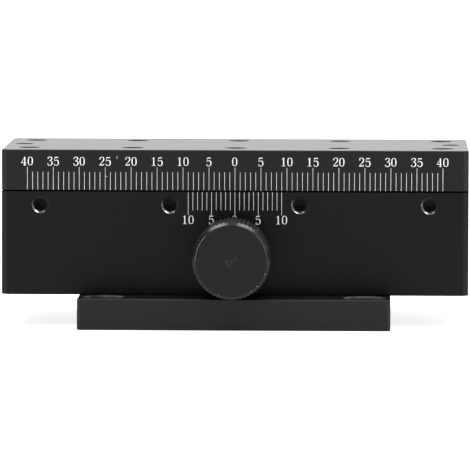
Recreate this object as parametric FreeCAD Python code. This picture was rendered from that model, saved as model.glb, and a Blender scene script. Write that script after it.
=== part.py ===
import FreeCAD, Part
import math
import os

# Manual linear stage: a table on a dovetail way, driven by a rack and pinion.
# Millimetres, +Z up. X is the direction of travel, -Y is the side of the scale and the knob.
# The origin is the centre of the base plate's underside.

V = FreeCAD.Vector

# Stage body and table, which are flush on all four sides
stage_length = 90.0
stage_width = 40.0
table_height = 7.85
slide_gap = 0.15
corner_break = 1.0
edge_break = 0.15
facing_edge_break = 0.06

# Base plate and the two sets of screws in it
base_length = 60.0
base_width = 60.0
base_height = 6.0
base_corner_break = 0.6
mount_inset = 5.0
mount_hole = 4.5
mount_head_hole = 8.0
mount_head_floor = 1.8
base_screw_pitch_x = 40.0
base_screw_inset_y = 7.5
base_screw_length = 12.0

# Dovetail way: neck width at the top of the block, flank slope, depth
dovetail_neck = 18.0
flank_angle = 60.0
groove_depth = 5.8
way_clearance = 0.02
dovetail_edge_flat = 0.6

# Gib strip between the front flanks, pushed by four screws
gib_thickness = 2.4
gib_back_gap = 0.03
gib_floor_gap = 0.1
gib_top_gap = 0.35
gib_end_gap = 1.0
gib_screw_count = 4
gib_screw_end = 7.5
gib_screw_drop = 2.6
gib_screw_recess = 2.6
gib_dog_length = 1.9
gib_dimple_depth = 0.95

# Pinion bearings in the block: place along X, walls under and over the front bushing
pinion_x = -0.35
bushing_floor_wall = 2.7
bushing_roof_wall = 1.5
front_bushing_diameter = 10.0
front_bushing_overhang = 2.0
bushing_relief = 0.4
bushing_land = 5.0
rear_bushing_diameter = 8.0
rear_bushing_length = 6.4
bushing_dimple_depth = 0.4
bushing_screw_y = -10.0

# Rack and pinion
gear_module = 0.5
pinion_teeth = 12
pressure_angle = 20.0
profile_shift = 0.3
mesh_lift = 0.04
rack_y = 5.5
rack_width = 5.0
rack_end_gap = 1.0
rack_slot_depth = 2.3
rack_screw_end = 3.5
rack_screw_length = 8.0
rack_counterbore = 2.6
pinion_side_margin = 0.6
pinion_end_gap = 0.2
channel_side_gap = 0.7
channel_floor_gap = 1.4
shaft_diameter = 5.0
rear_journal_diameter = 4.0
shaft_flat = 0.4

# Knob, with the washer and the disc spring in the recess of its rear face
knob_length = 14.5
knob_block_gap = 0.3
knob_base_gap = 0.2
knob_chamfer = 0.65
knob_front_wall = 1.7
knob_screw_from_front = 6.0
knob_screw_recess = 1.2
knurl_pitch = 0.8
knurl_depth = 0.22
washer_thickness = 0.4
washer_rim = 2.7
spring_thickness = 0.25
spring_dish = 0.3

# End stops: long set screws in the table that meet the front bushing
stop_screw_end = 3.35
stop_screw_recess = 2.4
stop_hole_mouth = 0.3
stop_tip_gap = 0.5

# Clamp on the rear side: brass pad, threaded stud and knurled head
lock_pad_diameter = 3.2
lock_pad_length = 4.4
lock_gap = 0.17
lock_head_diameter = 10.0
lock_head_length = 7.0
lock_head_gap = 0.8
lock_head_wall = 1.5
lock_head_chamfer = 0.5
lock_stud_reach = 5.4

# Tapped holes in the table
table_hole_pitch = 20.0
table_hole_end = 5.0
table_hole_inset = 7.5
table_hole_floor = 1.7

# Standard screw sizes
m2 = 2.0
m3 = 3.0
m4 = 4.0
m4_tap_drill = 3.3
m2_head_diameter = 3.8
m2_head_height = 2.0
m4_countersunk_head = 8.0
hex_socket_m2 = 1.5
hex_socket_m3 = 1.5
hex_socket_m4 = 2.5
thread_gap = 0.02
seat_gap = 0.02
hole_mouth = 0.15
screw_point = 0.3

# Heights, counted up from the underside of the base plate
block_height = bushing_floor_wall + front_bushing_diameter + bushing_roof_wall + groove_depth
block_bottom = base_height
block_top = block_bottom + block_height
table_bottom = block_top + slide_gap
table_top = table_bottom + table_height
groove_floor = block_top - groove_depth
dovetail_bottom = groove_floor + way_clearance
axis_z = block_bottom + bushing_floor_wall + front_bushing_diameter / 2
way_screw_z = block_top - gib_screw_drop

# Rack and pinion sizes
pitch_radius = gear_module * pinion_teeth / 2
tooth_pitch = math.pi * gear_module
base_radius = pitch_radius * math.cos(math.radians(pressure_angle))
tip_radius = pitch_radius + gear_module * (1 + profile_shift)
root_radius = pitch_radius - gear_module * (1.25 - profile_shift)
rack_line = axis_z + pitch_radius + gear_module * profile_shift + mesh_lift
rack_tip_z = rack_line - gear_module
rack_root_z = rack_line + 1.25 * gear_module
rack_back_z = dovetail_bottom + rack_slot_depth
channel_floor = rack_tip_z - channel_floor_gap

# Places across the stage
front_y = -stage_width / 2
rear_y = stage_width / 2
rack_front_y = rack_y - rack_width / 2
rack_rear_y = rack_y + rack_width / 2
channel_front_y = -(m3 / 2 + channel_side_gap)
channel_rear_y = rack_rear_y + channel_side_gap
bushing_end_y = front_bushing_overhang
pinion_front_y = bushing_end_y + seat_gap
pinion_rear_y = rack_rear_y + pinion_side_margin
rear_bushing_y = pinion_rear_y + pinion_end_gap
rear_bushing_end_y = rear_bushing_y + rear_bushing_length
knob_rear_y = front_y - knob_block_gap
knob_front_y = knob_rear_y - knob_length
knob_radius = axis_z - base_height - knob_base_gap
spring_height = spring_thickness + spring_dish
washer_front_y = front_y - washer_thickness
spring_rear_y = washer_front_y - seat_gap
spring_front_y = spring_rear_y - spring_height
shaft_front_y = knob_front_y + knob_front_wall + seat_gap

# Places along the stage
rack_length = stage_length - 2 * rack_end_gap
rack_screw_x = rack_length / 2 - rack_screw_end
stop_screw_x = stage_length / 2 - stop_screw_end

flank_slope = math.tan(math.radians(flank_angle))
flank_sine = math.sin(math.radians(flank_angle))


def flank_y(z, offset=0.0):
    """Distance from the middle of the way to a flank at height z, moved out by a normal offset."""
    return dovetail_neck / 2 + (block_top - z) / flank_slope + offset / flank_sine


def on_axis(y):
    """Point on the pinion's axis."""
    return V(pinion_x, y, axis_z)


def box(x0, x1, y0, y1, z0, z1):
    return Part.makeBox(x1 - x0, y1 - y0, z1 - z0, V(x0, y0, z0))


def rod(diameter, start, end):
    """Cylinder from one centre point to another."""
    return Part.makeCylinder(diameter / 2, (end - start).Length, start, end - start)


def cone(start_diameter, end_diameter, start, end):
    return Part.makeCone(start_diameter / 2, end_diameter / 2, (end - start).Length, start, end - start)


def prism(points, direction):
    """Closed outline of straight edges, pushed along a direction."""
    outline = Part.makePolygon(points + [points[0]])
    return Part.Face(outline).extrude(direction)


def along_x(points_yz, length):
    """Outline in the YZ plane, pushed along X and centred on the middle of the stage."""
    points = [V(-length / 2, y, z) for y, z in points_yz]
    return prism(points, V(length, 0, 0))


def join(shapes):
    return shapes[0].fuse(shapes[1:]) if len(shapes) > 1 else shapes[0]


def carve(shape, tools):
    return shape.cut(join(tools))


def spaced(count, reach):
    """Evenly spaced places from -reach to +reach."""
    return [-reach + 2 * reach * i / (count - 1) for i in range(count)]


def edges_between(body, z0, z1):
    """Straight edges whose lower end lies at one height and whose upper end lies at the other."""
    found = []
    for edge in body.Edges:
        low, high = sorted(vertex.Z for vertex in edge.Vertexes)
        if abs(low - z0) < 1e-6 and abs(high - z1) < 1e-6:
            found.append(edge)
    return found


def plate(length, width, z0, z1, corner, bottom_break=edge_break, top_break=edge_break):
    """Block with bevelled upright corners and lightly broken top and bottom edges."""
    body = box(-length / 2, length / 2, -width / 2, width / 2, z0, z1)
    body = body.makeChamfer(corner, edges_between(body, z0, z1))
    body = body.makeChamfer(bottom_break, edges_between(body, z0, z0))
    return body.makeChamfer(top_break, edges_between(body, z1, z1))


def hex_socket(width, depth, mouth, direction):
    """Hexagonal prism, to be cut into a screw from its mouth inwards."""
    radius = width / math.sqrt(3)
    side = direction.cross(V(1, 0, 0)) if abs(direction.x) < 0.5 else direction.cross(V(0, 1, 0))
    other = direction.cross(side)
    corners = []
    for i in range(6):
        turn = i * math.pi / 3
        corners.append(mouth + side * (radius * math.cos(turn)) + other * (radius * math.sin(turn)))
    return prism(corners, direction * depth)


def set_screw(diameter, socket, outer, tip):
    """Headless screw with a hexagonal socket at its outer end and a bevelled point."""
    inward = (tip - outer).normalize()
    length = (tip - outer).Length
    point = min(screw_point, length / 4)
    shank = rod(diameter, outer, tip - inward * point)
    nose = cone(diameter, diameter - 2 * point, tip - inward * point, tip)
    return carve(join([shank, nose]), [hex_socket(socket, length * 0.45, outer, inward)])


def screw_hole(diameter, mouth, end):
    """Hole for a screw thread, drawn at the thread's outer size."""
    inward = (end - mouth).normalize()
    return rod(diameter + 2 * thread_gap, mouth - inward, end)


def bevelled_screw_hole(diameter, mouth, end, bevel=hole_mouth):
    inward = (end - mouth).normalize()
    entry = cone(diameter + 2 * bevel, diameter, mouth, mouth + inward * bevel)
    return join([screw_hole(diameter, mouth, end), entry])


def knurled_body(diameter, inner, outer, bevel):
    """Round body along Y with a straight knurl and a bevel at its outer end."""
    count = round(math.pi * diameter / knurl_pitch)
    outline = []
    for i in range(2 * count):
        reach = diameter / 2 if i % 2 == 0 else diameter / 2 - knurl_depth
        turn = math.pi * i / count
        outline.append(inner + V(reach * math.sin(turn), 0, reach * math.cos(turn)))
    ribs = prism(outline, outer - inner)
    bevel_start = outer - (outer - inner).normalize() * bevel
    core = join([
        rod(diameter, inner, bevel_start),
        cone(diameter, diameter - 2 * bevel, bevel_start, outer),
    ])
    return ribs.common(core)


def mount_places():
    x = base_length / 2 - mount_inset
    y = base_width / 2 - mount_inset
    return [(sx * x, sy * y) for sx in (-1, 1) for sy in (-1, 1)]


def base_screw_places():
    x = base_screw_pitch_x / 2
    y = stage_width / 2 - base_screw_inset_y
    return [(sx * x, sy * y) for sx in (-1, 1) for sy in (-1, 1)]


def gib_screw_places():
    return spaced(gib_screw_count, stage_length / 2 - gib_screw_end)


def table_hole_places():
    steps = int((stage_length / 2 - table_hole_end) / table_hole_pitch + 1e-6)
    rows = stage_width / 2 - table_hole_inset
    return [(i * table_hole_pitch, side * rows) for i in range(-steps, steps + 1) for side in (-1, 1)]


def make_base_plate():
    body = plate(base_length, base_width, 0, base_height, base_corner_break)
    tools = []
    for x, y in mount_places():
        tools.append(rod(mount_hole, V(x, y, -1), V(x, y, base_height + 1)))
        tools.append(rod(mount_head_hole, V(x, y, mount_head_floor), V(x, y, base_height + 1)))
    head = m4_countersunk_head + 2 * seat_gap
    bore = m4 + 0.5
    for x, y in base_screw_places():
        tools.append(rod(bore, V(x, y, -1), V(x, y, base_height + 1)))
        tools.append(cone(head, bore, V(x, y, 0), V(x, y, (head - bore) / 2)))
    return carve(body, tools)


def make_base_screws():
    """Countersunk screws from below, which hold the block on the base plate."""
    screws = []
    neck = (m4_countersunk_head - m4) / 2
    for x, y in base_screw_places():
        head = cone(m4_countersunk_head, m4, V(x, y, seat_gap), V(x, y, seat_gap + neck))
        shank = rod(m4, V(x, y, seat_gap + neck), V(x, y, base_screw_length))
        socket = hex_socket(hex_socket_m4, neck, V(x, y, seat_gap), V(0, 0, 1))
        screws.append(carve(join([head, shank]), [socket]))
    return Part.makeCompound(screws)


def groove_outline():
    """Female dovetail, wider on the front side by the gib strip and its play."""
    gib = way_clearance + gib_thickness + gib_back_gap
    over = block_top + 1
    return [
        (-flank_y(groove_floor, gib), groove_floor),
        (flank_y(groove_floor, way_clearance), groove_floor),
        (flank_y(block_top, way_clearance), block_top),
        (flank_y(block_top, way_clearance), over),
        (-flank_y(block_top, gib), over),
        (-flank_y(block_top, gib), block_top),
    ]


def make_body_block():
    body = plate(stage_length, stage_width, block_bottom, block_top, corner_break,
                 top_break=facing_edge_break)
    over = stage_length + 2
    tools = [
        along_x(groove_outline(), over),
        box(-over / 2, over / 2, channel_front_y, channel_rear_y, channel_floor, groove_floor + 0.1),
        rod(front_bushing_diameter + 2 * thread_gap, on_axis(front_y - 1), on_axis(rear_bushing_y)),
        rod(rear_bushing_diameter + 2 * thread_gap, on_axis(pinion_rear_y),
            on_axis(rear_bushing_end_y + seat_gap)),
        screw_hole(m3, V(pinion_x, bushing_screw_y, block_bottom), on_axis(bushing_screw_y)),
    ]
    for x in gib_screw_places():
        inner_end = V(x, -flank_y(way_screw_z), way_screw_z)
        tools.append(bevelled_screw_hole(m3, V(x, front_y, way_screw_z), inner_end))
    for x, y in base_screw_places():
        tools.append(screw_hole(m4, V(x, y, block_bottom), V(x, y, base_screw_length + m4 / 2)))
    pad_hole_end = flank_y(way_screw_z) + lock_pad_length
    tools.append(rod(lock_pad_diameter + 2 * thread_gap, V(0, 0, way_screw_z), V(0, rear_y, way_screw_z)))
    stud_hole_end = V(0, pad_hole_end - m4 / 4, way_screw_z)
    tools.append(bevelled_screw_hole(m4, V(0, rear_y, way_screw_z), stud_hole_end))
    return carve(body, tools)


def make_gib_strip():
    """Brass strip with the section of a parallelogram and a dimple for each screw."""
    low = groove_floor + gib_floor_gap
    high = block_top - gib_top_gap
    outer = way_clearance + gib_thickness
    section = [
        (-flank_y(low, outer), low),
        (-flank_y(low, way_clearance), low),
        (-flank_y(high, way_clearance), high),
        (-flank_y(high, outer), high),
    ]
    strip = along_x(section, stage_length - 2 * gib_end_gap)
    floor = gib_dimple_y()
    dimple = gib_dog_diameter() + 2 * seat_gap
    holes = [rod(dimple, V(x, front_y, way_screw_z), V(x, floor, way_screw_z)) for x in gib_screw_places()]
    return carve(strip, holes)


def gib_dog_diameter():
    return m3 * 2 / 3


def gib_dimple_y():
    """Floor of the dimples in the back of the gib strip."""
    return -flank_y(way_screw_z, way_clearance + gib_thickness) + gib_dimple_depth


def make_gib_screws():
    """Set screws with a dog point that seats in the gib strip's dimples."""
    screws = []
    tip_y = gib_dimple_y() - seat_gap
    shoulder_y = tip_y - gib_dog_length
    for x in gib_screw_places():
        outer = V(x, front_y + gib_screw_recess, way_screw_z)
        shoulder = V(x, shoulder_y, way_screw_z)
        dog = rod(gib_dog_diameter(), shoulder, V(x, tip_y, way_screw_z))
        screws.append(join([set_screw(m3, hex_socket_m3, outer, shoulder), dog]))
    return Part.makeCompound(screws)


def ring_on_axis(outer, inner, y0, y1):
    return carve(rod(outer, on_axis(y0), on_axis(y1)), [rod(inner, on_axis(y0 - 1), on_axis(y1 + 1))])


def make_front_bushing():
    """Long brass bushing, bored clear in the middle, with a dimple for its set screw."""
    ring = ring_on_axis(front_bushing_diameter, shaft_diameter + 2 * way_clearance, front_y, bushing_end_y)
    relief = rod(shaft_diameter + 2 * bushing_relief, on_axis(front_y + bushing_land),
                 on_axis(bushing_end_y - bushing_land))
    bottom = axis_z - front_bushing_diameter / 2
    dimple = rod(m3 + 2 * seat_gap, V(pinion_x, bushing_screw_y, bottom - 1),
                 V(pinion_x, bushing_screw_y, bottom + bushing_dimple_depth))
    return carve(ring, [relief, dimple])


def make_rear_bushing():
    return ring_on_axis(rear_bushing_diameter, rear_journal_diameter + 2 * way_clearance,
                        rear_bushing_y, rear_bushing_end_y)


def make_bushing_set_screw():
    tip = axis_z - front_bushing_diameter / 2 + bushing_dimple_depth - seat_gap
    outer = V(pinion_x, bushing_screw_y, block_bottom + seat_gap)
    return set_screw(m3, hex_socket_m3, outer, V(pinion_x, bushing_screw_y, tip))


def make_thrust_washer():
    bore = shaft_diameter + 4 * thread_gap
    return ring_on_axis(shaft_diameter + 2 * washer_rim, bore, washer_front_y, front_y)


def make_disc_spring():
    """Dished ring: its rim bears on the thrust washer and its bore on the knob."""
    inner = shaft_diameter / 2 + 2 * thread_gap
    outer = shaft_diameter / 2 + washer_rim
    section = [
        on_axis(spring_front_y) + V(inner, 0, 0),
        on_axis(spring_front_y + spring_thickness) + V(inner, 0, 0),
        on_axis(spring_rear_y) + V(outer, 0, 0),
        on_axis(spring_rear_y - spring_thickness) + V(outer, 0, 0),
    ]
    face = Part.Face(Part.makePolygon(section + [section[0]]))
    return face.revolve(on_axis(0), V(0, 1, 0), 360)


def table_outline():
    """Male dovetail under the table; its sharp lower edges are cut to an upright flat."""
    corner = dovetail_bottom + dovetail_edge_flat
    high = table_bottom + 0.1
    return [
        (-flank_y(corner), dovetail_bottom),
        (flank_y(corner), dovetail_bottom),
        (flank_y(corner), corner),
        (flank_y(high), high),
        (-flank_y(high), high),
        (-flank_y(corner), corner),
    ]


def make_table_plate():
    top = plate(stage_length, stage_width, table_bottom, table_top, corner_break,
                bottom_break=facing_edge_break)
    way = along_x(table_outline(), stage_length - 2 * edge_break)
    over = stage_length + 2
    tools = [box(-over / 2, over / 2, rack_front_y - seat_gap, rack_rear_y + seat_gap,
                 dovetail_bottom - 1, rack_back_z)]
    for x, y in table_hole_places():
        tools.append(rod(m4_tap_drill, V(x, y, table_bottom + table_hole_floor), V(x, y, table_top + 1)))
        mouth = m4 + 2 * hole_mouth
        depth = (mouth - m4_tap_drill) / 2
        tools.append(cone(m4_tap_drill, mouth, V(x, y, table_top - depth), V(x, y, table_top)))
    for x in (-stop_screw_x, stop_screw_x):
        far_end = V(x, 0, dovetail_bottom - 1)
        tools.append(bevelled_screw_hole(m3, V(x, 0, table_top), far_end, stop_hole_mouth))
    for x in (-rack_screw_x, rack_screw_x):
        end = rack_tip_z + rack_counterbore + rack_screw_length
        tools.append(rod(m2 + 2 * thread_gap, V(x, rack_y, rack_back_z - 1), V(x, rack_y, end + m2 / 4)))
    return carve(join([top, way]), tools)


def rack_outline():
    """Rack in the XZ plane, teeth down, with a tooth straight over the pinion's axis."""
    lean = math.tan(math.radians(pressure_angle))
    tip_half = tooth_pitch / 4 - gear_module * lean
    root_half = tooth_pitch / 4 + 1.25 * gear_module * lean
    count = int((rack_length / 2 - abs(pinion_x) - root_half) / tooth_pitch)
    points = [V(-rack_length / 2, rack_front_y, rack_root_z)]
    for i in range(-count, count + 1):
        middle = pinion_x + i * tooth_pitch
        points.append(V(middle - root_half, rack_front_y, rack_root_z))
        points.append(V(middle - tip_half, rack_front_y, rack_tip_z))
        points.append(V(middle + tip_half, rack_front_y, rack_tip_z))
        points.append(V(middle + root_half, rack_front_y, rack_root_z))
    points.append(V(rack_length / 2, rack_front_y, rack_root_z))
    points.append(V(rack_length / 2, rack_front_y, rack_back_z))
    points.append(V(-rack_length / 2, rack_front_y, rack_back_z))
    return points


def make_rack():
    bar = prism(rack_outline(), V(0, rack_width, 0))
    seat = rack_tip_z + rack_counterbore
    tools = []
    for x in (-rack_screw_x, rack_screw_x):
        tools.append(rod(m2_head_diameter + 2 * seat_gap, V(x, rack_y, rack_tip_z - 1), V(x, rack_y, seat)))
        tools.append(rod(m2 + 0.2, V(x, rack_y, seat - 0.1), V(x, rack_y, rack_back_z + 1)))
    return carve(bar, tools)


def make_rack_screws():
    """Small cap screws, past the stretch of the rack that the pinion reaches."""
    screws = []
    seat = rack_tip_z + rack_counterbore
    for x in (-rack_screw_x, rack_screw_x):
        head = rod(m2_head_diameter, V(x, rack_y, seat - m2_head_height), V(x, rack_y, seat))
        shank = rod(m2, V(x, rack_y, seat), V(x, rack_y, seat + rack_screw_length))
        mouth = V(x, rack_y, seat - m2_head_height)
        socket = hex_socket(hex_socket_m2, m2_head_height / 2, mouth, V(0, 0, 1))
        screws.append(carve(join([head, shank]), [socket]))
    return Part.makeCompound(screws)


def make_stop_screws():
    screws = []
    for x in (-stop_screw_x, stop_screw_x):
        outer = V(x, 0, table_top - stop_screw_recess)
        tip = V(x, 0, channel_floor + stop_tip_gap)
        inward = V(0, 0, -1)
        point = tip - inward * screw_point
        shank = join([rod(m3, outer, point), cone(m3, m3 - 2 * screw_point, point, tip)])
        screws.append(carve(shank, [hex_socket(hex_socket_m3, m3 / 2, outer, inward)]))
    return Part.makeCompound(screws)


def involute(angle):
    return math.tan(angle) - angle


def tooth_half_angle(radius):
    """Half of the angle that a pinion tooth takes up at a radius, on its involute flank."""
    pressure = math.radians(pressure_angle)
    thickness = gear_module * (math.pi / 2 + 2 * profile_shift * math.tan(pressure))
    at_pitch = thickness / (2 * pitch_radius)
    return at_pitch + involute(pressure) - involute(math.acos(min(1.0, base_radius / radius)))


def pinion_point(radius, turn):
    return on_axis(pinion_front_y) + V(radius * math.sin(turn), 0, radius * math.cos(turn))


def pinion_flank(middle, side):
    """Involute flank of one tooth, from the base circle to the tip."""
    steps = 4
    start = max(base_radius, root_radius)
    points = []
    for i in range(steps + 1):
        radius = start + (tip_radius - start) * i / steps
        points.append(pinion_point(radius, middle + side * tooth_half_angle(radius)))
    curve = Part.BSplineCurve()
    curve.interpolate(points)
    return curve.toShape(), points[0], points[-1]


def pinion_outline():
    """Whole pinion as one wire; a tooth space faces the rack's tooth over the axis."""
    edges = []
    spacing = 2 * math.pi / pinion_teeth
    root_half = tooth_half_angle(base_radius)
    for i in range(pinion_teeth):
        middle = (i + 0.5) * spacing
        left, left_foot, left_tip = pinion_flank(middle, -1)
        right, right_foot, right_tip = pinion_flank(middle, 1)
        left_root = pinion_point(root_radius, middle - root_half)
        right_root = pinion_point(root_radius, middle + root_half)
        next_root = pinion_point(root_radius, middle + spacing - root_half)
        root_middle = pinion_point(root_radius, middle + spacing / 2)
        edges += [
            Part.makeLine(left_root, left_foot), left, Part.makeLine(left_tip, right_tip),
            right, Part.makeLine(right_foot, right_root),
            Part.Arc(right_root, root_middle, next_root).toShape(),
        ]
    return Part.Wire(Part.__sortEdges__(edges))


def make_pinion_shaft():
    """Pinion cut on its own shaft, with a flat where the knob's set screw bears."""
    teeth = Part.Face(pinion_outline()).extrude(V(0, pinion_rear_y - pinion_front_y, 0))
    tip = on_axis(shaft_front_y)
    nose = on_axis(shaft_front_y + edge_break)
    body = join([
        teeth,
        cone(shaft_diameter - 2 * edge_break, shaft_diameter, tip, nose),
        rod(shaft_diameter, nose, on_axis(pinion_front_y + 0.1)),
        rod(rear_journal_diameter, on_axis(pinion_rear_y - 0.1), on_axis(rear_bushing_end_y - edge_break)),
    ])
    reach = shaft_diameter
    low = axis_z - shaft_diameter / 2
    flat = box(pinion_x - reach, pinion_x + reach, shaft_front_y - 1, knob_rear_y - washer_rim,
               low - 1, low + shaft_flat)
    return carve(body, [flat])


def knob_recess_y():
    """Floor of the recess in the knob's rear face, where the disc spring bears."""
    return spring_front_y - seat_gap


def make_knob():
    body = knurled_body(2 * knob_radius, on_axis(knob_rear_y), on_axis(knob_front_y), knob_chamfer)
    bore = shaft_diameter + 2 * thread_gap
    recess = shaft_diameter + 2 * washer_rim + 4 * knurl_depth
    screw_y = knob_front_y + knob_screw_from_front
    tools = [
        rod(bore, on_axis(knob_front_y + knob_front_wall), on_axis(knob_rear_y + 1)),
        rod(recess, on_axis(knob_recess_y()), on_axis(knob_rear_y + 1)),
        screw_hole(m3, V(pinion_x, screw_y, axis_z - knob_radius), on_axis(screw_y)),
    ]
    return carve(body, tools)


def make_knob_set_screw():
    screw_y = knob_front_y + knob_screw_from_front
    outer = V(pinion_x, screw_y, axis_z - knob_radius + knob_screw_recess)
    tip = V(pinion_x, screw_y, axis_z - shaft_diameter / 2 + shaft_flat - seat_gap)
    return set_screw(m3, hex_socket_m3, outer, tip)


def lock_pad_end_y():
    return flank_y(way_screw_z) + lock_pad_length


def make_lock_pad():
    """Brass pin whose inner end is cut to the slope of the dovetail's rear flank."""
    pin = rod(lock_pad_diameter, V(0, 0, way_screw_z), V(0, lock_pad_end_y(), way_screw_z))
    low = way_screw_z - lock_pad_diameter
    high = way_screw_z + lock_pad_diameter
    inside = [
        (-1, low),
        (flank_y(low, lock_gap), low),
        (flank_y(high, lock_gap), high),
        (-1, high),
    ]
    return carve(pin, [along_x(inside, 2 * lock_pad_diameter)])


def make_lock_stud():
    start = lock_pad_end_y() + seat_gap
    end = lock_stud_end_y()
    nose = cone(m4 - 2 * screw_point, m4, V(0, start, way_screw_z), V(0, start + screw_point, way_screw_z))
    return join([nose, rod(m4, V(0, start + screw_point, way_screw_z), V(0, end, way_screw_z))])


def lock_stud_end_y():
    return rear_y + lock_head_gap + min(lock_stud_reach, lock_head_length - lock_head_wall)


def make_lock_head():
    """Knurled head of the clamp screw, clear of the table's rear edge."""
    inner = V(0, rear_y + lock_head_gap, way_screw_z)
    outer = inner + V(0, lock_head_length, 0)
    body = knurled_body(lock_head_diameter, inner, outer, lock_head_chamfer)
    bore = rod(m4 + 2 * thread_gap, inner - V(0, 1, 0), V(0, lock_stud_end_y() + seat_gap, way_screw_z))
    return carve(body, [bore])


sub_parts = {
    "base_plate": make_base_plate,
    "base_screws": make_base_screws,
    "body_block": make_body_block,
    "gib_strip": make_gib_strip,
    "gib_screws": make_gib_screws,
    "front_bushing": make_front_bushing,
    "rear_bushing": make_rear_bushing,
    "bushing_set_screw": make_bushing_set_screw,
    "thrust_washer": make_thrust_washer,
    "table_plate": make_table_plate,
    "rack": make_rack,
    "rack_screws": make_rack_screws,
    "stop_screws": make_stop_screws,
    "pinion_shaft": make_pinion_shaft,
    "disc_spring": make_disc_spring,
    "knob": make_knob,
    "knob_set_screw": make_knob_set_screw,
    "lock_pad": make_lock_pad,
    "lock_stud": make_lock_stud,
    "lock_head": make_lock_head,
}

os.makedirs("parts", exist_ok=True)
for name, make in sub_parts.items():
    shape = make()
    shape.exportStep("parts/" + name + ".step")
    print(name, len(shape.Solids), shape.isValid(), round(shape.Volume, 3))
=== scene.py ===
import math

import bmesh
import bpy
from mathutils import Matrix, Vector


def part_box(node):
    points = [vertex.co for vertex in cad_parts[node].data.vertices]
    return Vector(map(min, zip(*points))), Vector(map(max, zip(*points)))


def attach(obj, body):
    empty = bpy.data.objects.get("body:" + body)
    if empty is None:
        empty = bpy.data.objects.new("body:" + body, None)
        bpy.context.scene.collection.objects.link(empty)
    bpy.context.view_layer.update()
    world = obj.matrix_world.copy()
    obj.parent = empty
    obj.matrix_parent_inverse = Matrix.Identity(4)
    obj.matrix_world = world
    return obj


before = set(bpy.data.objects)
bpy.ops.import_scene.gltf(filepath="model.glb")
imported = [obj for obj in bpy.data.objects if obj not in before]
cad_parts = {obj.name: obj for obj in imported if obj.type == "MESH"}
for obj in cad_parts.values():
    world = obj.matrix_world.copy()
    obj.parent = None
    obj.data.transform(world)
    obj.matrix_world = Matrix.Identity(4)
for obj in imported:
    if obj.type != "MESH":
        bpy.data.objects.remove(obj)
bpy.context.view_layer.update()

MM = 0.001

# Engraved scale on the table: one mark a millimetre, every fifth one long and numbered
SCALE_REACH = 40
LONG_EVERY = 5
LONG_MARK = 4.4 * MM
SHORT_MARK = 3.45 * MM
MARK_WIDTH = 0.068 * MM
MARK_PROUD = 0.015 * MM
MARK_END_GAP = 0.1 * MM

# Vernier on the block: ten divisions in nine millimetres, each way
VERNIER_DIVISIONS = 10
VERNIER_STEP = 0.9 * MM
VERNIER_LONG = 4.42 * MM
VERNIER_SHORT = 3.5 * MM

# Engraved figures, in a book face with thick stems and thin joins
FIGURE_HEIGHT = 1.66 * MM
FIGURE_WIDTH = 1.8 * MM
FIGURE_ADVANCE = 1.24 * MM
FIGURE_FLAT = 0.06
TABLE_FIGURE_GAP = 0.29 * MM
VERNIER_FIGURE_GAP = 0.1 * MM

# Threads: pitch, radius of the drawn hole, radius of the thread's crest, and the share of the pitch that a
# ridge leaves free on each side of its foot
M4_PITCH, M4_HOLE, M4_CREST = 0.7 * MM, 1.65 * MM, 1.5 * MM
M3_PITCH, M3_HOLE, M3_CREST = 0.5 * MM, 1.52 * MM, 1.25 * MM
THREAD_FREE = 0.04
THREAD_SEGMENTS = 28

# Tapped holes in the table's top: two rows, from the middle outwards
TABLE_HOLES_EACH_SIDE = 2
TABLE_HOLE_PITCH = 20 * MM
TABLE_HOLE_ROW = 12.5 * MM
TABLE_HOLE_MOUTH = 0.5 * MM
TABLE_MOUTH_RADIUS = 2.15 * MM
TABLE_HOLE_DEPTH = 6.0 * MM

# Holes of the gib screws and stop screws: the screws' radius, and the countersunk mouths, which are lined
# with a ring a little smaller than the hole
GIB_SCREW_COUNT = 4
M3_RADIUS = 1.5 * MM
GIB_MOUTH_RADIUS = 1.65 * MM
STOP_MOUTH_RADIUS = 1.8 * MM
MOUTH_LINING = 0.01 * MM

# Painted shade in the table's holes ends over this width at their rims
MOUTH_FADE = 0.05 * MM

# Counterbores in the base plate, by their distance from its middle
COUNTERBORE_REACH = 25 * MM
COUNTERBORE_RADIUS = 4 * MM

# The slide's gap and the strip of painted shade along it
SLIDE_GAP = 0.15 * MM
JOINT_SHADE_HALF = 0.17 * MM
JOINT_SHADE_FADE = 0.02 * MM

# Wear and painted glints: two chips beside the scale, and the bare crescent and spot on a gib hole's
# countersink, partly worn and partly painted glints
SCALE_CHIPS = ((-22.7 * MM, 32.7 * MM), (-22.75 * MM, 32.4 * MM), (-24.75 * MM, 28.85 * MM))
RUB_GLINT_SHIFT = Vector((0.45, 0, 0.3)) * MM
RUB_GLINT_START, RUB_GLINT_FULL, RUB_GLINT_RAG = 1.86 * MM, 2.0 * MM, 0.3 * MM
RUB_GLINT_SPOT = Vector((0.66, 0, -1.32)) * MM
RUB_GLINT_SPOT_SIZE = 0.34 * MM

# Knob: bevel round its face, and small bare chips on it that also stand in for glints, in degrees clockwise
# from the top
KNOB_BEVEL = 0.65 * MM
KNOB_CHIP_GLINTS = (111, 134, 146, 200)
LOCK_BEVEL = 0.5 * MM

# Places in the frame
table_low, table_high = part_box("table_plate")
block_low, block_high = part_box("body_block")
base_low, base_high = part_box("base_plate")
knob_low, knob_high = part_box("knob")
gib_screws_low, gib_screws_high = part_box("gib_screws")
stop_low, stop_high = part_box("stop_screws")
front_y = table_low.y
table_foot = block_high.z + SLIDE_GAP
knob_axis = Vector(((knob_low.x + knob_high.x) / 2, knob_low.y, (knob_low.z + knob_high.z) / 2))
knob_radius = (knob_high.z - knob_low.z) / 2
lock_low, lock_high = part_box("lock_head")
lock_axis = Vector(((lock_low.x + lock_high.x) / 2, lock_high.y, (lock_low.z + lock_high.z) / 2))
lock_radius = (lock_high.z - lock_low.z) / 2


def linear(hex_colour):
    """sRGB hex colour as linear red, green, blue and alpha."""
    parts = [int(hex_colour[i:i + 2], 16) / 255 for i in (1, 3, 5)]
    return [c / 12.92 if c <= 0.04045 else ((c + 0.055) / 1.055) ** 2.4 for c in parts] + [1.0]


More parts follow.
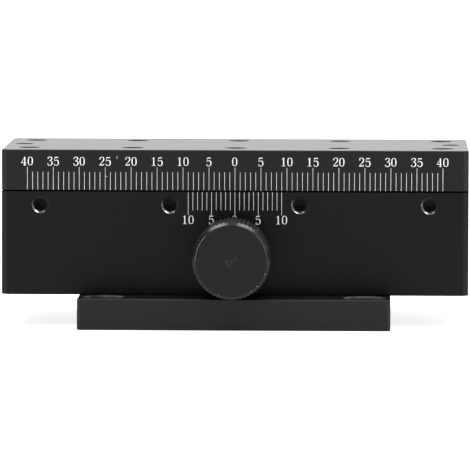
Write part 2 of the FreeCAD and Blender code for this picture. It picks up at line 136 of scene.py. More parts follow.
def add(tree, kind, inputs=(), **settings):
    """Adds a shader node with its settings and links, and gives its first output.

    Inputs are values or other nodes' outputs: by their names, or in the order of the sockets in use. A noise
    takes its place, scale, detail and roughness that way, a mix its factor and two colours, and a map range
    a value, the value's low and high limit, and what these limits become."""
    node = tree.nodes.new("ShaderNode" + kind)
    for name, value in settings.items():
        setattr(node, name, value)
    in_order = [socket for socket in node.inputs if socket.enabled]
    named = isinstance(inputs, dict)
    pairs = [(node.inputs[name], inputs[name]) for name in inputs] if named else zip(in_order, inputs)
    for socket, value in pairs:
        if isinstance(value, bpy.types.NodeSocket):
            tree.links.new(value, socket)
        else:
            socket.default_value = value
    return next(socket for socket in node.outputs if socket.enabled)


def blank_material(name, **constants):
    """New material; gives it, its tree, its shader and the object coordinates in metres."""
    material = bpy.data.materials.new(name)
    material.use_nodes = True
    tree = material.node_tree
    shader = tree.nodes["Principled BSDF"]
    for key, value in constants.items():
        shader.inputs[key.replace("_", " ")].default_value = value
    place = add(tree, "TexCoord").node.outputs["Object"]
    return material, tree, shader, place


def object_place(material):
    return material.node_tree.nodes["Texture Coordinate"].outputs["Object"]


def edge_distance(tree, place, low, high):
    """Distance of a point on a box from its nearest edge: the middle one of three depths.

    Depths count on both sides of a face, so what sticks out of the box isn't taken for an edge."""
    centre, half = (low + high) / 2, (high - low) / 2
    moved = add(tree, "VectorMath", (place, centre), operation="SUBTRACT")
    folded = add(tree, "VectorMath", (moved,), operation="ABSOLUTE")
    depth = add(tree, "VectorMath", (half, folded), operation="SUBTRACT")
    unsigned = add(tree, "VectorMath", (depth,), operation="ABSOLUTE")
    x, y, z = add(tree, "SeparateXYZ", (unsigned,)).node.outputs
    lower = add(tree, "Math", (x, y), operation="MINIMUM")
    upper = add(tree, "Math", (x, y), operation="MAXIMUM")
    capped = add(tree, "Math", (upper, z), operation="MINIMUM")
    return add(tree, "Math", (lower, capped), operation="MAXIMUM")


def overlap(tree, *masks):
    """One where all the masks are one."""
    shared = masks[0]
    for mask in masks[1:]:
        shared = add(tree, "Math", (shared, mask), operation="MULTIPLY")
    return shared


def spots(tree, place, points, size):
    """One on small ragged spots round the given points, and nought elsewhere."""
    rag = add(tree, "TexNoise", (place, 1 / size, 3.0, 0.7))
    mask = 0.0
    for point in points:
        away = add(tree, "VectorMath", (place, point), operation="DISTANCE")
        ragged = add(tree, "Math", (rag, size, away), operation="MULTIPLY_ADD")
        spot = add(tree, "MapRange", (ragged, size, 0.8 * size))
        mask = add(tree, "Math", (spot, mask), operation="MAXIMUM")
    return mask


def black_anodised_aluminium(name, low, high, dark, light, shine=0.2):
    """Black anodised aluminium, bead blasted: a near-black satin with fine pits and greyer edges."""
    material, tree, shader, place = blank_material(name, Specular_IOR_Level=shine)
    # Pits of 0.14 mm, coarser than blasting beads leave them, so that they show; blotches of 0.7 mm from
    # handling; and edges worn in stretches of 0.9 mm
    pits = add(tree, "TexNoise", (place, 1 / (0.14 * MM), 2.0))
    handled = add(tree, "TexNoise", (place, 1 / (0.7 * MM), 5.0, 0.6))
    tone = add(tree, "MapRange", (handled, 0.3, 0.7))
    base = add(tree, "Mix", (tone, linear(dark), linear(light)), data_type="RGBA")
    rag = add(tree, "TexNoise", (place, 1 / (0.9 * MM), 5.0, 0.7))
    from_edge = edge_distance(tree, place, low, high)
    ragged = add(tree, "Math", (rag, 0.5 * MM, from_edge), operation="MULTIPLY_ADD")
    wear = add(tree, "MapRange", (ragged, 0.42 * MM, 0.16 * MM))
    colour = add(tree, "Mix", (wear, base, linear("#2b2b2b")), data_type="RGBA")
    satin = add(tree, "MapRange", (handled, 0.3, 0.7, 0.38, 0.42))
    relief = add(tree, "Bump", {"Strength": 0.3, "Distance": 0.02 * MM, "Height": pits})
    tree.links.new(colour, shader.inputs["Base Color"])
    tree.links.new(satin, shader.inputs["Roughness"])
    tree.links.new(relief, shader.inputs["Normal"])
    return material


def lay_over(material, mask, tone):
    """Puts another colour over a material's own one, where the mask is one."""
    tree = material.node_tree
    base_colour = tree.nodes["Principled BSDF"].inputs["Base Color"]
    under = base_colour.links[0].from_socket
    tree.links.new(add(tree, "Mix", (mask, under, linear(tone)), data_type="RGBA"), base_colour)


def soak_with_oil(material, mask):
    """Paints shade over a material where the mask is one: blackens it and dulls its shine."""
    tree = material.node_tree
    shine = tree.nodes["Principled BSDF"].inputs["Specular IOR Level"]
    under = shine.links[0].from_socket if shine.links else shine.default_value
    lay_over(material, mask, "#030303")
    kept = add(tree, "MapRange", (mask, 0.0, 1.0, 1.0, 0.1))
    tree.links.new(add(tree, "Math", (under, kept), operation="MULTIPLY"), shine)


def joint_mask(material):
    """One along the joint between table and block, where shade is painted in and beside the slide's gap."""
    tree = material.node_tree
    height = add(tree, "SeparateXYZ", (object_place(material),)).node.outputs["Z"]
    above = add(tree, "Math", (height, (block_high.z + table_foot) / 2), operation="SUBTRACT")
    away = add(tree, "Math", (above,), operation="ABSOLUTE")
    return add(tree, "MapRange", (away, JOINT_SHADE_HALF + JOINT_SHADE_FADE, JOINT_SHADE_HALF))


def table_hole_mask(material):
    """Seven tenths in the mouths of the table's holes, where shade is painted inside them: two rows, and one
    at each end.
    """
    tree = material.node_tree
    x, y, z = add(tree, "SeparateXYZ", (object_place(material),)).node.outputs
    along = add(tree, "Math", (x, TABLE_HOLE_PITCH / 2), operation="PINGPONG")
    from_middle = add(tree, "Math", (y,), operation="ABSOLUTE")
    across = add(tree, "Math", (from_middle, TABLE_HOLE_ROW), operation="SUBTRACT")
    flat = add(tree, "CombineXYZ", (along, across))
    away = add(tree, "VectorMath", (flat,), operation="LENGTH")
    rows = add(tree, "MapRange", (away, TABLE_MOUTH_RADIUS + MOUTH_FADE, TABLE_MOUTH_RADIUS))
    folded = add(tree, "Math", (x,), operation="ABSOLUTE")
    flat = add(tree, "CombineXYZ", (folded, y))
    end_hole = Vector((stop_high.x - M3_RADIUS, 0, 0))
    away = add(tree, "VectorMath", (flat, end_hole), operation="DISTANCE")
    ends = add(tree, "MapRange", (away, STOP_MOUTH_RADIUS + MOUTH_FADE, STOP_MOUTH_RADIUS))
    either = add(tree, "Math", (rows, ends), operation="MAXIMUM")
    bottom = table_high.z - TABLE_HOLE_MOUTH
    return overlap(tree, either, add(tree, "MapRange", (z, bottom, bottom + MOUTH_FADE)), 0.7)


def top_film_mask(material, level):
    """More than half on a plate's top face, where shade is painted over it."""
    tree = material.node_tree
    height = add(tree, "SeparateXYZ", (object_place(material),)).node.outputs["Z"]
    return add(tree, "MapRange", (height, level - 0.05 * MM, level - 0.02 * MM, 0.0, 0.6))


def chip_scale_face(material):
    """Small white chips on the table's front face, beside its scale."""
    points = [Vector((x, front_y, z)) for x, z in SCALE_CHIPS]
    lay_over(material, spots(material.node_tree, object_place(material), points, 0.2 * MM), "#e8e8e8")


def rub_counterbores(material):
    """Painted light on the rims and walls of the four counterbores: a patchy lighter grey."""
    tree, place = material.node_tree, object_place(material)
    folded = add(tree, "VectorMath", (place,), operation="ABSOLUTE")
    level = add(tree, "VectorMath", (folded, Vector((1, 1, 0))), operation="MULTIPLY")
    middle = Vector((COUNTERBORE_REACH, COUNTERBORE_REACH, 0))
    away = add(tree, "VectorMath", (level, middle), operation="DISTANCE")
    outside = add(tree, "Math", (away, COUNTERBORE_RADIUS), operation="SUBTRACT")
    gap = add(tree, "Math", (outside,), operation="ABSOLUTE")
    height = add(tree, "SeparateXYZ", (place,)).node.outputs["Z"]
    cloud = add(tree, "TexNoise", (place, 1 / (2.6 * MM), 3.0))
    lit_walls = overlap(tree,
                     add(tree, "MapRange", (gap, 0.1 * MM, 0.04 * MM)),
                     add(tree, "MapRange", (height, base_high.z - 0.6 * MM, base_high.z - 0.3 * MM)),
                     add(tree, "MapRange", (cloud, 0.4, 0.58, 0.25, 1.0)))
    lay_over(material, lit_walls, "#787878")


def worn_line(tree, place, centred, radius, inner, rim):
    """Painted highlight line on a bevel's inner edge, in bright bare metal: patchy, high up and off to the
    sides, and dimmer at the right.
    """
    x, y, z = add(tree, "SeparateXYZ", (centred,)).node.outputs
    outside = add(tree, "Math", (radius, inner), operation="SUBTRACT")
    gap = add(tree, "Math", (outside,), operation="ABSOLUTE")
    depth = add(tree, "Math", (y,), operation="ABSOLUTE")
    sideways = add(tree, "Math", (x,), operation="ABSOLUTE")
    cloud = add(tree, "TexNoise", (place, 1 / (2.5 * MM), 3.0))
    return overlap(tree,
                   add(tree, "MapRange", (gap, 0.05 * MM, 0.02 * MM)),
                   add(tree, "MapRange", (cloud, 0.42, 0.6)),
                   add(tree, "MapRange", (depth, 0.12 * MM, 0.06 * MM)),
                   add(tree, "MapRange", (z, -1.2 * MM, 0.8 * MM)),
                   add(tree, "MapRange", (sideways, 0.5 * rim, 0.62 * rim)),
                   add(tree, "MapRange", (x, -0.3 * rim, 0.3 * rim, 1.0, 0.4)))


def centre_mark(tree, place, radius):
    """Pip and broken ring that the lathe's centre has left in the middle of a turned face."""
    outside = add(tree, "Math", (radius, 0.95 * MM), operation="SUBTRACT")
    gap = add(tree, "Math", (outside,), operation="ABSOLUTE")
    cloud = add(tree, "TexNoise", (place, 1 / (0.9 * MM), 3.0))
    ring = overlap(tree,
                   add(tree, "MapRange", (gap, 0.4 * MM, 0.15 * MM)),
                   add(tree, "MapRange", (cloud, 0.42, 0.62)))
    pip = add(tree, "MapRange", (radius, 0.34 * MM, 0.2 * MM))
    return add(tree, "Math", (pip, ring), operation="MAXIMUM")


def chip_places(face, radius, angles):
    """Points on a circle round the middle of an upright face, by degrees clockwise from its top."""
    turns = [math.radians(angle) for angle in angles]
    return [face + Vector((math.sin(turn), 0, math.cos(turn))) * radius for turn in turns]


def turned_anodised_aluminium(name, face, rim, bevel, chips):
    """Black anodised aluminium, turned on a lathe: rings on its flat end, and a bevel round it with a
    painted highlight line and bare chips that are partly painted glints.
    """
    material, tree, shader, place = blank_material(name)
    centred = add(tree, "VectorMath", (place, face), operation="SUBTRACT")
    flat = add(tree, "VectorMath", (centred, Vector((1, 0, 1))), operation="MULTIPLY")
    radius = add(tree, "VectorMath", (flat,), operation="LENGTH")
    x, y, z = add(tree, "SeparateXYZ", (centred,)).node.outputs
    depth = add(tree, "Math", (y,), operation="ABSOLUTE")
    inner = rim - bevel
    on_bevel = overlap(tree,
                       add(tree, "MapRange", (radius, inner - 0.03 * MM, inner + 0.03 * MM)),
                       add(tree, "MapRange", (depth, bevel + 0.05 * MM, bevel - 0.05 * MM)))
    dust = add(tree, "TexNoise", (place, 1 / (0.4 * MM), 5.0, 0.6))
    ragged = add(tree, "Math", (dust, 0.05 * MM, radius), operation="MULTIPLY_ADD")
    crest = add(tree, "MapRange", (ragged, rim - 0.03 * MM, rim + 0.03 * MM))
    # Bare chips on the bevel, partly wear and partly painted glints
    chips_and_glints = spots(tree, place, chip_places(face, inner + 0.08 * MM, chips), 0.22 * MM)
    # Painted highlight line on the bevel's inner edge
    rim_highlight = worn_line(tree, place, centred, radius, inner, rim)
    bare = add(tree, "Math", (chips_and_glints, rim_highlight), operation="MAXIMUM")
    colour = add(tree, "Mix", (dust, linear("#0f0f0f"), linear("#161616")), data_type="RGBA")
    for mask, tone in ((centre_mark(tree, place, radius), "#2a2a2a"), (crest, "#242424"),
                       (on_bevel, "#121212"), (bare, "#b4b4b4")):
        colour = add(tree, "Mix", (mask, colour, linear(tone)), data_type="RGBA")
    satin = add(tree, "MapRange", (dust, 0.3, 0.7, 0.36, 0.44))
    roughness = add(tree, "Mix", (on_bevel, satin, 0.22))
    polished = overlap(tree, on_bevel, add(tree, "MapRange", (z, 0.72 * rim, 0.9 * rim)))
    # Rings 0.16 mm apart, coarser than a lathe's finest feed, so that they show
    phase = add(tree, "Math", (radius, 2 * math.pi / (0.16 * MM)), operation="MULTIPLY")
    rings = add(tree, "Math", (phase,), operation="SINE")
    relief = add(tree, "Bump", {"Strength": 0.2, "Distance": 0.01 * MM, "Height": rings})
    tree.links.new(colour, shader.inputs["Base Color"])
    tree.links.new(bare, shader.inputs["Metallic"])
    tree.links.new(roughness, shader.inputs["Roughness"])
    shine = add(tree, "MapRange", (polished, 0.0, 1.0, 0.18, 0.4))
    tree.links.new(shine, shader.inputs["Specular IOR Level"])
    tree.links.new(relief, shader.inputs["Normal"])
    return material


def rubbed_countersink(places):
    """Anodised countersinks, each bare in a crescent and on one spot: partly wear from the set screw's key,
    partly painted glints placed where light catches them.
    """
    material, tree, shader, place = blank_material("rubbed_countersink", Roughness=0.26)
    gap = 1.0
    for centre in places:
        away = add(tree, "VectorMath", (place, centre + RUB_GLINT_SHIFT), operation="DISTANCE")
        gap = add(tree, "Math", (away, gap), operation="MINIMUM")
    film = add(tree, "TexNoise", (place, 1 / (0.5 * MM), 4.0, 0.6))
    ragged = add(tree, "Math", (film, RUB_GLINT_RAG, gap), operation="MULTIPLY_ADD")
    crescent = add(tree, "MapRange", (ragged, RUB_GLINT_START + RUB_GLINT_RAG / 2, RUB_GLINT_FULL + RUB_GLINT_RAG / 2))
    dots = spots(tree, place, [middle + RUB_GLINT_SPOT for middle in places], RUB_GLINT_SPOT_SIZE)
    bare = add(tree, "Math", (dots, crescent), operation="MAXIMUM")
    colour = add(tree, "Mix", (bare, linear("#1c1c1c"), linear("#a8a8a8")), data_type="RGBA")
    tree.links.new(colour, shader.inputs["Base Color"])
    tree.links.new(bare, shader.inputs["Metallic"])
    return material


def machined_metal(name, dark, light, rough_low, rough_high, lay):
    """Bare machined metal: bright and a little tarnished, with fine marks from the cutter.

    The lay says how many times finer the marks are along each axis than their length of 0.2 mm."""
    material, tree, shader, place = blank_material(name, Metallic=1.0)
    stretched = add(tree, "Mapping", {"Vector": place, "Scale": lay})
    marks = add(tree, "TexNoise", (stretched, 1 / (0.2 * MM), 3.0, 0.6))
    tarnish = add(tree, "TexNoise", (place, 1 / (3 * MM), 4.0, 0.6))
    darker = add(tree, "MapRange", (tarnish, 0.35, 0.7))
    colour = add(tree, "Mix", (darker, linear(light), linear(dark)), data_type="RGBA")
    roughness = add(tree, "MapRange", (marks, 0.3, 0.7, rough_low, rough_high))
    relief = add(tree, "Bump", {"Strength": 0.3, "Distance": 0.01 * MM, "Height": marks})
    tree.links.new(colour, shader.inputs["Base Color"])
    tree.links.new(roughness, shader.inputs["Roughness"])
    tree.links.new(relief, shader.inputs["Normal"])
    return material


def black_oxide_steel():
    """Black oxide on alloy steel: a thin dark film with a dull oily shine."""
    material, tree, shader, place = blank_material("black_oxide_steel", Metallic=0.85)
    film = add(tree, "TexNoise", (place, 1 / (0.6 * MM), 4.0, 0.6))
    colour = add(tree, "Mix", (film, linear("#0d0d0d"), linear("#1f1f1e")), data_type="RGBA")
    roughness = add(tree, "MapRange", (film, 0.3, 0.7, 0.3, 0.5))
    tree.links.new(colour, shader.inputs["Base Color"])
    tree.links.new(roughness, shader.inputs["Roughness"])
    return material


def white_washer_plastic():
    """Natural acetal, turned from rod: milky and smooth."""
    material, tree, shader, place = blank_material("white_acetal", Roughness=0.4)
    cloud = add(tree, "TexNoise", (place, 1 / (2 * MM), 3.0))
    colour = add(tree, "Mix", (cloud, linear("#dcdad2"), linear("#eceae4")), data_type="RGBA")
    tree.links.new(colour, shader.inputs["Base Color"])
    return material


def engraved_fill():
    """White filler in the engraved lines: matt, a little uneven where it was wiped off."""
    material, tree, shader, place = blank_material("white_engraving_filler", Roughness=0.7)
    smear = add(tree, "TexNoise", (place, 1 / (0.25 * MM), 4.0, 0.7))
    full = add(tree, "MapRange", (smear, 0.25, 0.5))
    colour = add(tree, "Mix", (full, linear("#e2e2e1"), linear("#fbfbfb")), data_type="RGBA")
    tree.links.new(colour, shader.inputs["Base Color"])
    return material


def pale_floor():
    """Milky acrylic, lit from below as on a photographer's light table, so that shadows stay faint."""
    material, tree, shader, place = blank_material(
        "pale_floor", Roughness=0.85, Emission_Strength=0.84, Emission_Color=linear("#ffffff"))
    cloud = add(tree, "TexNoise", (place, 1 / FLOOR_CLOUD, 3.0))
    colour = add(tree, "Mix", (cloud, linear("#aaaaaa"), linear("#aeaeae")), data_type="RGBA")
    tree.links.new(colour, shader.inputs["Base Color"])
    return material


def piece_of_mesh(name, mesh, material, body, smooth_angle=None):
    """Makes a mesh a piece that rides on a body, smooth where its faces meet at less than the angle."""
    mesh.materials.clear()
    mesh.materials.append(material)
    if smooth_angle is not None:
        mesh.shade_smooth()
        mesh.set_sharp_from_angle(angle=math.radians(smooth_angle))
    piece = bpy.data.objects.new(name, mesh)
    bpy.context.scene.collection.objects.link(piece)
    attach(piece, body)
    return piece


def piece_from(name, shape, material, body, smooth_angle=None):
    """Makes a bmesh such a piece, and frees it."""
    mesh = bpy.data.meshes.new(name)
    shape.to_mesh(mesh)
    shape.free()
    return piece_of_mesh(name, mesh, material, body, smooth_angle)


def add_bar(shape, low, high):
    """Adds a box between two corners."""
    centre, size = (low + high) / 2, high - low
    place = Matrix.Translation(centre) @ Matrix.Diagonal((*size, 1))
    bmesh.ops.create_cube(shape, size=1.0, matrix=place)


def add_mark(shape, x, foot, top):
    """One engraved line on the front face, from its foot up or down to its other end."""
    low_z, high_z = min(foot, top), max(foot, top)
    half = Vector((MARK_WIDTH / 2, MARK_PROUD, 0))
    add_bar(shape, Vector((x, front_y, low_z)) - half, Vector((x, front_y, high_z)) + half)


# Each figure's pen strokes: points as shares of its width and height, and the pen's radius there
FIGURES = {
    "0": [
        [(0.31, 0.95, 0.028), (0.12, 0.93, 0.04), (0.08, 0.5, 0.083), (0.12, 0.07, 0.04),
         (0.31, 0.05, 0.028), (0.5, 0.07, 0.04), (0.54, 0.5, 0.083), (0.5, 0.93, 0.04), (0.31, 0.95, 0.028)],
    ],
    "1": [
        [(0.33, 0.0, 0.067), (0.33, 0.98, 0.067)],
        [(0.33, 0.96, 0.024), (0.22, 0.86, 0.024), (0.13, 0.83, 0.024)],
        [(0.12, 0.03, 0.024), (0.54, 0.03, 0.024)],
    ],
    "2": [
        [(0.13, 0.72, 0.066), (0.1, 0.92, 0.038), (0.31, 1.0, 0.024), (0.54, 0.94, 0.058),
         (0.53, 0.62, 0.073), (0.38, 0.42, 0.038), (0.18, 0.2, 0.027), (0.09, 0.06, 0.024)],
        [(0.08, 0.07, 0.057), (0.54, 0.07, 0.057)],
        [(0.53, 0.06, 0.02), (0.56, 0.24, 0.02)],
    ],
    "3": [
        [(0.13, 0.78, 0.062), (0.13, 0.94, 0.032), (0.33, 1.0, 0.024), (0.53, 0.92, 0.062),
         (0.5, 0.62, 0.045), (0.26, 0.54, 0.02)],
        [(0.28, 0.54, 0.021), (0.53, 0.53, 0.045), (0.57, 0.22, 0.078), (0.44, 0.0, 0.04),
         (0.22, 0.0, 0.028), (0.1, 0.06, 0.038), (0.12, 0.22, 0.062)],
    ],
    "4": [
        [(0.41, 0.97, 0.024), (0.05, 0.3, 0.024)],
        [(0.05, 0.29, 0.032), (0.58, 0.29, 0.032)],
        [(0.41, 0.99, 0.064), (0.41, 0.0, 0.064)],
        [(0.25, 0.03, 0.024), (0.57, 0.03, 0.024)],
    ],
    "5": [
        [(0.15, 0.93, 0.057), (0.52, 0.93, 0.057)],
        [(0.14, 0.93, 0.024), (0.12, 0.52, 0.024)],
        [(0.12, 0.52, 0.026), (0.27, 0.64, 0.032), (0.5, 0.58, 0.066), (0.57, 0.26, 0.077),
         (0.44, 0.0, 0.04), (0.22, 0.0, 0.028), (0.1, 0.06, 0.038), (0.12, 0.2, 0.062)],
    ],
}


def add_stroke(curve, stroke, left, foot):
    """One pen stroke of a figure: smooth if it has over three points, and a loop if its ends meet."""
    smooth, loop = len(stroke) > 3, stroke[0] == stroke[-1]
    points = stroke[:-1] if loop else stroke
    spline = curve.splines.new("NURBS" if smooth else "POLY")
    spline.points.add(len(points) - 1)
    for point, (x, z, radius) in zip(spline.points, points):
        point.co = (left + x * FIGURE_WIDTH, 0, foot + z * FIGURE_HEIGHT, 1)
        point.radius = radius
    spline.use_cyclic_u = loop
    if smooth:
        spline.order_u = 3
        spline.use_endpoint_u = not loop
        spline.resolution_u = 5


def write_number(curve, text, middle, foot):
    """Figures of one number, centred on its mark."""
    left = middle - FIGURE_ADVANCE * len(text) / 2
    for place, figure in enumerate(text):
        for stroke in FIGURES[figure]:
            add_stroke(curve, stroke, left + place * FIGURE_ADVANCE, foot)


def numbers_piece(name, numbers, foot, material, body):
    """Row of numbers on the front face: pen strokes of round section, pressed nearly flat."""
    curve = bpy.data.curves.new(name, "CURVE")
    curve.dimensions = "3D"
    curve.bevel_depth = FIGURE_HEIGHT
    curve.bevel_resolution = 1
    curve.use_fill_caps = True
    for middle, text in numbers:
        write_number(curve, text, middle, foot)
    pen = bpy.data.objects.new(name + "_pen", curve)
    bpy.context.scene.collection.objects.link(pen)
    bpy.context.view_layer.update()
    mesh = bpy.data.meshes.new_from_object(pen.evaluated_get(bpy.context.evaluated_depsgraph_get()))
    bpy.data.objects.remove(pen)
    mesh.transform(Matrix.Diagonal((1, FIGURE_FLAT, 1, 1)))
    mesh.transform(Matrix.Translation((0, front_y - MARK_PROUD / 2, 0)))
    mesh.name = name
    return piece_of_mesh(name, mesh, material, body)


def table_scale(material):
    """Marks 1 mm apart on the table's front face, with a longer one and a number every 5 mm."""
    foot = table_foot + MARK_END_GAP
    shape = bmesh.new()
    for i in range(-SCALE_REACH, SCALE_REACH + 1):
        length = LONG_MARK if i % LONG_EVERY == 0 else SHORT_MARK
        add_mark(shape, i * MM, foot, foot + length)
    piece_from("table_scale_marks", shape, material, "table")
    numbers = [(i * MM, str(abs(i))) for i in range(-SCALE_REACH, SCALE_REACH + 1, LONG_EVERY)]
    numbers_piece("table_scale_numbers", numbers, foot + LONG_MARK + TABLE_FIGURE_GAP, material, "table")


def block_vernier(material):
    """Vernier on the block's front face, whose marks hang from its top edge."""
    head = block_high.z - MARK_END_GAP
    shape = bmesh.new()
    for i in range(-VERNIER_DIVISIONS, VERNIER_DIVISIONS + 1):
        length = VERNIER_LONG if i % LONG_EVERY == 0 else VERNIER_SHORT
        add_mark(shape, i * VERNIER_STEP, head, head - length)
    piece_from("vernier_marks", shape, material, "base")
    numbered = range(-VERNIER_DIVISIONS, VERNIER_DIVISIONS + 1, LONG_EVERY)
    numbers = [(i * VERNIER_STEP, str(abs(i))) for i in numbered]
    foot = head - VERNIER_LONG - VERNIER_FIGURE_GAP - FIGURE_HEIGHT
    numbers_piece("vernier_numbers", numbers, foot, material, "base")


def add_ridge(shape, centre, axis, side, hole, crest, pitch, length):
    """Thread inside a hole: a three-sided ridge that winds along the axis, with closed ends.

    Its foot is a little narrower than the pitch, so that one turn doesn't touch the next."""
    turns = (length - pitch) / pitch
    corners = []
    for radius, share in ((hole, THREAD_FREE), (crest, 0.5), (hole, 1 - THREAD_FREE)):
        point = centre + side * radius + axis * share * pitch
        corners += bmesh.ops.create_vert(shape, co=point)["vert"]
    made = bmesh.ops.contextual_create(shape, geom=corners)
    face = made["faces"][0]
    steps = round(turns * THREAD_SEGMENTS)
    bmesh.ops.spin(shape, geom=[face, *face.edges, *face.verts], cent=centre, axis=axis,
                   dvec=axis * (pitch / THREAD_SEGMENTS), angle=2 * math.pi * steps / THREAD_SEGMENTS,
                   steps=steps, use_duplicate=False)


def add_countersink(shape, centre, axis, side, mouth, hole, crest):
    """Ring that lines a hole's mouth and slopes in from its rim to the thread's crest."""
    rim = mouth - MOUTH_LINING
    corners = []
    for radius, along in ((rim, 0), (crest, rim - crest), (hole, rim - crest)):
        point = centre + side * radius + axis * along
        corners += bmesh.ops.create_vert(shape, co=point)["vert"]
    edges = []
    for first, second in ((0, 1), (1, 2), (2, 0)):
        pair = [corners[first], corners[second]]
        edges += bmesh.ops.contextual_create(shape, geom=pair)["edges"]
    bmesh.ops.spin(shape, geom=[*corners, *edges], cent=centre, axis=axis, angle=2 * math.pi,
                   steps=2 * THREAD_SEGMENTS, use_merge=True)


def spaced(count, low, high):
    """Evenly spaced values, both ends included."""
    return [low + (high - low) * i / (count - 1) for i in range(count)]


def threads_piece(name, shape, material, body):
    """Smooth piece of threads or countersinks, with its faces turned outwards."""
    bmesh.ops.recalc_face_normals(shape, faces=shape.faces)
    return piece_from(name, shape, material, body, smooth_angle=40)


def table_threads(material):
    """Threads in the ten tapped holes on top of the table."""
    shape = bmesh.new()
    down, side = Vector((0, 0, -1)), Vector((1, 0, 0))
    length = TABLE_HOLE_DEPTH - TABLE_HOLE_MOUTH
    for i in range(-TABLE_HOLES_EACH_SIDE, TABLE_HOLES_EACH_SIDE + 1):
        for y in (-TABLE_HOLE_ROW, TABLE_HOLE_ROW):
            mouth = Vector((i * TABLE_HOLE_PITCH, y, table_high.z - TABLE_HOLE_MOUTH))
            add_ridge(shape, mouth, down, side, M4_HOLE, M4_CREST, M4_PITCH, length)
    threads_piece("table_hole_threads", shape, material, "table")


def gib_hole_places():
    z = (gib_screws_low.z + gib_screws_high.z) / 2
    places = spaced(GIB_SCREW_COUNT, gib_screws_low.x + M3_RADIUS, gib_screws_high.x - M3_RADIUS)
    return [Vector((x, block_low.y, z)) for x in places]


def stop_hole_places():
    return [Vector((x, 0, table_high.z)) for x in (stop_low.x + M3_RADIUS, stop_high.x - M3_RADIUS)]


def m3_hole_threads(name, mouths, radius, axis, side, screw_end, body, finish, edge_finish):
    """Countersink and thread between a hole's mouth and the set screw that sits deeper in it."""
    threads, edges = bmesh.new(), bmesh.new()
    for mouth in mouths:
        add_countersink(edges, mouth, axis, side, radius, M3_HOLE, M3_CREST)
        start = mouth + axis * (radius - MOUTH_LINING - M3_CREST)
        length = abs((screw_end - start).dot(axis))
        add_ridge(threads, start, axis, side, M3_HOLE, M3_CREST, M3_PITCH, length)
    threads_piece(name + "_threads", threads, finish, body)
    threads_piece(name + "_countersinks", edges, edge_finish, body)


def finish_cad_nodes():
    """Gives each carried-over node its finish."""
    table_foot_corner = Vector((table_low.x, table_low.y, table_foot))
    table_finish = black_anodised_aluminium(
        "table_anodised", table_foot_corner, table_high, "#121212", "#161616")
    # Painted shade along the slide's joint
    soak_with_oil(table_finish, joint_mask(table_finish))
    # Painted shade inside the table's holes
    soak_with_oil(table_finish, table_hole_mask(table_finish))
    # The block's darker tones and lower shine than the table's are painted shade, for the less light that
    # falls on its face
    block_finish = black_anodised_aluminium(
        "block_anodised", block_low, block_high, "#0a0a0a", "#0e0e0e", shine=0.14)
    # Painted shade along the slide's joint
    soak_with_oil(block_finish, joint_mask(block_finish))
    base_finish = black_anodised_aluminium("base_plate_anodised", base_low, base_high, "#161616", "#1a1a1a")
    # Painted shade over the base plate's top face
    soak_with_oil(base_finish, top_film_mask(base_finish, base_high.z))
    chip_scale_face(table_finish)
    # Painted light on the counterbores' rims and walls
    rub_counterbores(base_finish)
    brass = machined_metal("machined_brass", "#7d6236", "#b39458", 0.25, 0.42, (1, 6, 6))
    steel = machined_metal("ground_steel", "#8f9093", "#c4c5c7", 0.18, 0.3, (1, 6, 1))
    oxide = black_oxide_steel()
    finishes = {
        "base_plate": base_finish,
        "body_block": block_finish,
        "table_plate": table_finish,
        "knob": turned_anodised_aluminium("knob_turned", knob_axis, knob_radius, KNOB_BEVEL, KNOB_CHIP_GLINTS),
        "lock_head": turned_anodised_aluminium("lock_head_turned", lock_axis, lock_radius, LOCK_BEVEL, ()),
        "gib_strip": brass, "rack": brass, "front_bushing": brass, "rear_bushing": brass, "lock_pad": brass,
        "pinion_shaft": steel, "disc_spring": steel, "lock_stud": steel,
        "base_screws": oxide, "gib_screws": oxide, "rack_screws": oxide, "stop_screws": oxide,
        "bushing_set_screw": oxide, "knob_set_screw": oxide,
        "thrust_washer": white_washer_plastic(),
    }
    for node, material in finishes.items():
        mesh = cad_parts[node].data
        mesh.materials.clear()
        mesh.materials.append(material)
    return finishes


# Camera, fitted to marks and corners of the photo, in metres and degrees
CAMERA_PLACE = Vector((0.02693, -1.18268, 0.1008))
CAMERA_YAW, CAMERA_PITCH, CAMERA_ROLL = -1.3253, -4.0897, 0.1418
CAMERA_FOCAL_PIXELS = 6053.7
PHOTO_PIXELS = 470
SENSOR = 36.0
CLIP_NEAR, CLIP_FAR = 0.01, 50

# Floor: half its width, the size of its faint clouds, and how far it lies under the base plate so that the
# two don't coincide
FLOOR_REACH = 8.0
FLOOR_CLOUD = 0.6
FLOOR_CLEARANCE = 0.02 * MM

# Linear light of the sky, the same from all sides
SKY = (0.25, 0.25, 0.25, 1)


def make_camera():
    """Camera that sees the part as the photo does."""
    data = bpy.data.cameras.new("photo_camera")
    data.sensor_width = SENSOR
    data.lens = CAMERA_FOCAL_PIXELS / PHOTO_PIXELS * SENSOR
    data.clip_start, data.clip_end = CLIP_NEAR, CLIP_FAR
    camera = bpy.data.objects.new("photo_camera", data)
    yaw, pitch, roll = (math.radians(a) for a in (CAMERA_YAW, CAMERA_PITCH, CAMERA_ROLL))
    ahead = Vector((math.sin(yaw) * math.cos(pitch), math.cos(yaw) * math.cos(pitch), math.sin(pitch)))
    right = Vector((math.cos(yaw), -math.sin(yaw), 0))
    up = right.cross(ahead)
    rolled_right = math.cos(roll) * right + math.sin(roll) * up
    rolled_up = math.cos(roll) * up - math.sin(roll) * right
    turn = Matrix((rolled_right, rolled_up, -ahead)).transposed().to_4x4()
    camera.matrix_world = Matrix.Translation(CAMERA_PLACE) @ turn
    bpy.context.scene.collection.objects.link(camera)
    bpy.context.scene.camera = camera


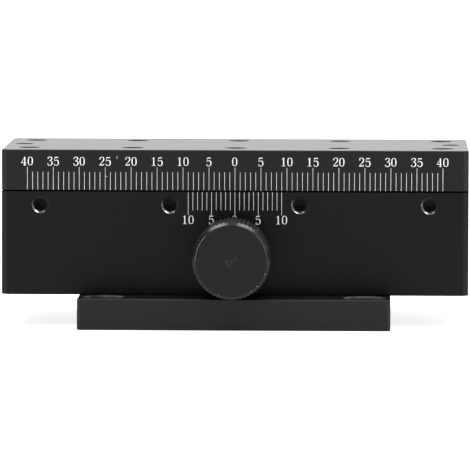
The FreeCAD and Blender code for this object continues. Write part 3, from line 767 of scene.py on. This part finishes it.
def make_softbox(name, place, target, width, height, power):
    """Lit rectangle that faces a target: sizes in metres, power in watts."""
    data = bpy.data.lights.new(name, "AREA")
    data.shape = "RECTANGLE"
    data.size, data.size_y = width, height
    data.energy = power
    lamp = bpy.data.objects.new(name, data)
    lamp.location = place
    lamp.rotation_euler = (target - place).to_track_quat("-Z", "Y").to_euler()
    bpy.context.scene.collection.objects.link(lamp)


def make_studio():
    """Pale floor, dim even sky, two strip lights overhead, and softboxes in front, behind and right."""
    shape = bmesh.new()
    below = Matrix.Translation((0, 0, -FLOOR_CLEARANCE))
    bmesh.ops.create_grid(shape, x_segments=1, y_segments=1, size=FLOOR_REACH, matrix=below)
    mesh = bpy.data.meshes.new("floor")
    shape.to_mesh(mesh)
    shape.free()
    mesh.materials.append(pale_floor())
    floor = bpy.data.objects.new("floor", mesh)
    bpy.context.scene.collection.objects.link(floor)
    world = bpy.data.worlds.new("studio")
    world.use_nodes = True
    world.node_tree.nodes["Background"].inputs["Color"].default_value = SKY
    bpy.context.scene.world = world
    aim = Vector((0, 0, 0.02))
    make_softbox("right_strip", Vector((0.45, 0.1, 1.1)), aim, 1.2, 0.6, 17)
    make_softbox("left_strip", Vector((-0.45, 0.1, 1.1)), aim, 1.2, 0.6, 17)
    make_softbox("right_box", Vector((1.5, 0.1, 0.9)), aim, 0.5, 1.2, 5)
    make_softbox("front_box", Vector((0, -1.5, 2.4)), aim, 1.6, 0.9, 24)
    make_softbox("back_box", Vector((0, 3.2, 1.0)), Vector((0, 0, 0.1)), 6.0, 2.4, 94)
    bpy.context.scene.view_settings.view_transform = "Standard"


finishes = finish_cad_nodes()
fill = engraved_fill()
table_scale(fill)
block_vernier(fill)
table_threads(finishes["table_plate"])
# Gib hole countersinks with a bare crescent and spot, partly wear and partly painted glints
m3_hole_threads("gib_hole", gib_hole_places(), GIB_MOUTH_RADIUS, Vector((0, 1, 0)), Vector((0, 0, 1)),
                Vector((0, gib_screws_low.y, 0)), "base", finishes["body_block"],
                rubbed_countersink(gib_hole_places()))
m3_hole_threads("stop_hole", stop_hole_places(), STOP_MOUTH_RADIUS, Vector((0, 0, -1)), Vector((1, 0, 0)),
                Vector((0, 0, stop_high.z)), "table", finishes["table_plate"], finishes["table_plate"])
make_camera()
make_studio()
